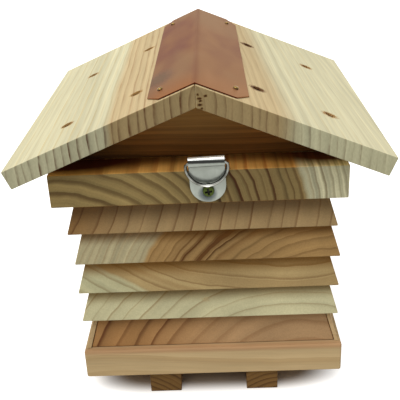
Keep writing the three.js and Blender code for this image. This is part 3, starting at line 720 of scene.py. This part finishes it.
# The two roof boards: pale quarter-sawn softwood with fine straight grain from back to front and
# a band of pinkish heartwood near the ridge. Their sawn ends are torn along the late wood, and
# the joint at the ridge by the pith. The wood is bruised and stained round each screw, and the
# walls of the holes have painted shade.
roof_slope = math.radians(22.5)
roof_back = -0.125
ridge_tears = [
    ((x, roof_back, z), (reach, 0.004, 0.0011), "7a6038", "3a200c")
    for x, z, reach in (
        (0.0016, 0.2418, 0.0010),
        (0.0024, 0.2392, 0.0020),
        (0.0030, 0.2376, 0.0013),
        (0.0026, 0.2352, 0.0021),
        (0.0038, 0.2328, 0.0012),
        (0.0024, 0.2318, 0.0018),
        (0.0062, 0.2408, 0.0014),
    )
]


def screw_head(name):
    """The middle of a roof screw's flat head, and the way it faces, square off the slope."""
    lean = math.copysign(math.sin(roof_slope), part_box(name)[0].x)
    out = Vector((lean, 0, math.cos(roof_slope)))
    points = [v.co for v in frame["nodes"][name].data.vertices]
    top = max(p.dot(out) for p in points)
    level = 0.00005
    flat = [p for p in points if p.dot(out) > top - level]
    middle = (Vector(map(min, zip(*flat))) + Vector(map(max, zip(*flat)))) / 2
    return middle, out


def is_painted_dark(middle):
    """Whether a screw is painted near black, for the deep shade in its hole: the two beside the
    cap on the right are.
    """
    beside_cap = 0.06
    return 0 < middle.x < beside_cap


for side, name, turned, fade, line, faint, sapwood in (
    (-1, "left", 1.15, 0.0035, 1, 0.6, ("aeaa8b", "481f00")),
    (1, "right", 3.2, 0.010, 0.5, 0.3, ("b4b08f", "4a2608")),
):
    bruises_and_hole_shade = []
    bruise_and_shade_reach = 0.0048 if name == "left" else 0.0055
    for screw_name in [n for n in frame["nodes"] if n.startswith(f"roof_screw_{name}")]:
        middle = screw_head(screw_name)[0]
        # painted shade: the holes of the two dark screws are marked darker still
        rim, core = ("6e4422", "1c0c04") if is_painted_dark(middle) else ("b0864c", "6a3c18")
        bruises_and_hole_shade.append((middle, (bruise_and_shade_reach, bruise_and_shade_reach, 1), rim, core))
    roof_wood = softwood(
        f"roof_{name}_wood", (-0.004 * side, 0, 0.241), 0.0054, ("94805a", "481f06"),
        ("d5be91", "b28e64"), sapwood, ("e4dcb6", "d6c490"), outer=0.06, fade=fade,
        turn=(0, 0, turned), tall=2.6, seed=13 + side, line=line, width=0.15, torn=0.65,
        strongest=(0.055, 0.1), faint=faint, drift=0.0015, wobble=0.0022, clouds=0.2,
        knots=ridge_tears + bruises_and_hole_shade,
    )
    worked(f"roof_board_{name}", roof_wood, easing=0.0007)

# The roof's screws: countersunk, yellow-passivated and gone brown, driven square through the roof
# boards into the gables, each a little below the surface. The two beside the cap on the right are
# painted near black, for the shade deep in their holes.
brown_zinc = fine_metal("brown_zinc", "6b4c22", "4a3014", 0.45, shine=0.8, stain_scale=300)
shade_dark_zinc = fine_metal(
    "shade_dark_zinc", "2a160a", "140a05", 0.8, shine=0, stain_scale=300, gloss=0.05,
)
for name in [n for n in frame["nodes"] if n.startswith("roof_screw")]:
    middle, out = screw_head(name)
    screw = worked(name, shade_dark_zinc if is_painted_dark(middle) else brown_zinc)
    sunk_cross(screw, middle, out, reach=0.0019, depth=0.0015, turned=0.4)

# The ridge cap: thin copper sheet folded over the ridge, its corners clipped. It has clouded to
# brown and purple, is orange pink near the back edge, and has a slate patch on its left half.
slate_patch = ((-0.025, -0.075, 0.238), (0.011, 0.02, 0.02), "7a5448", "6a4c42")


def clouded_copper():
    """Copper that has been handled and heated, its surface slightly uneven."""
    metal = cleared(bpy.data.materials.new("clouded_copper"))
    place = place_on(metal)
    parts = apart(metal, place)
    drawn_out = shade(metal, "Mapping", {"Vector": place, "Scale": (1, 0.35, 1)}).outputs[0]
    swirl = unsettle(metal, drawn_out, drawn_out, 30, detail=2, strength=(0.03, 0.03, 0.03))
    patches = cloud(metal, swirl, scale=27)
    colour = mix(metal, carry_over(metal, patches, 0.4, 0.6), tint("8a5433"), tint("7a4540"))
    fair = cloud(metal, swirl, scale=19, detail=1)
    fair = carry_over(metal, fair, 0.48, 0.62, 0, 0.7)
    colour = mix(metal, fair, colour, tint("8c6a50"))
    near_back = work_out(metal, "MULTIPLY_ADD", patches, 0.08, parts["Y"])
    near_back = carry_over(metal, near_back, -0.085, -0.04, 1, 0, "SMOOTHSTEP")
    colour = mix(metal, near_back, colour, tint("9c6038"))
    right_half = carry_over(metal, parts["X"], -0.004, 0.004, 0, 0.4)
    colour = mix(metal, right_half, colour, tint("98735a"))
    colour = marked(metal, colour, *slate_patch)
    from_ridge = work_out(metal, "ABSOLUTE", parts["X"])
    crease = carry_over(metal, from_ridge, 0.0006, 0.003, 0.45, 0)
    colour = mix(metal, crease, colour, tint("743a30"))
    sheared = work_out(metal, "ABSOLUTE", apart(metal, facing(metal))["Y"])
    sheared = carry_over(metal, sheared, 0.3, 0.6)
    colour = mix(metal, sheared, colour, tint("4e2412"))
    grain = cloud(metal, place, scale=700)
    swell = cloud(metal, swirl, scale=40, detail=1)
    swell = work_out(metal, "MULTIPLY_ADD", swell, 6, grain)
    return finish_surface(metal, {
        "Base Color": colour,
        "Metallic": 1.0,
        "Specular Tint": (1, 0.87, 0.68, 1),
        "Roughness": carry_over(metal, patches, 0.3, 0.7, 0.38, 0.52),
    }, swell, strength=0.3, depth=0.0002)


worked("ridge_cap", clouded_copper(), easing=0.00015, shortest=0.0004, corner=1.2)

# Four domed brass pins, one near each corner of the cap, with painted shade on their lower sides.
brass = fine_metal("brass", "b99a5c", "8f7440", 0.25, stain_scale=400, painted_underside_shade="3c2410")
for name in [n for n in frame["nodes"] if n.startswith("cap_pin")]:
    worked(name, brass)

low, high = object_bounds()
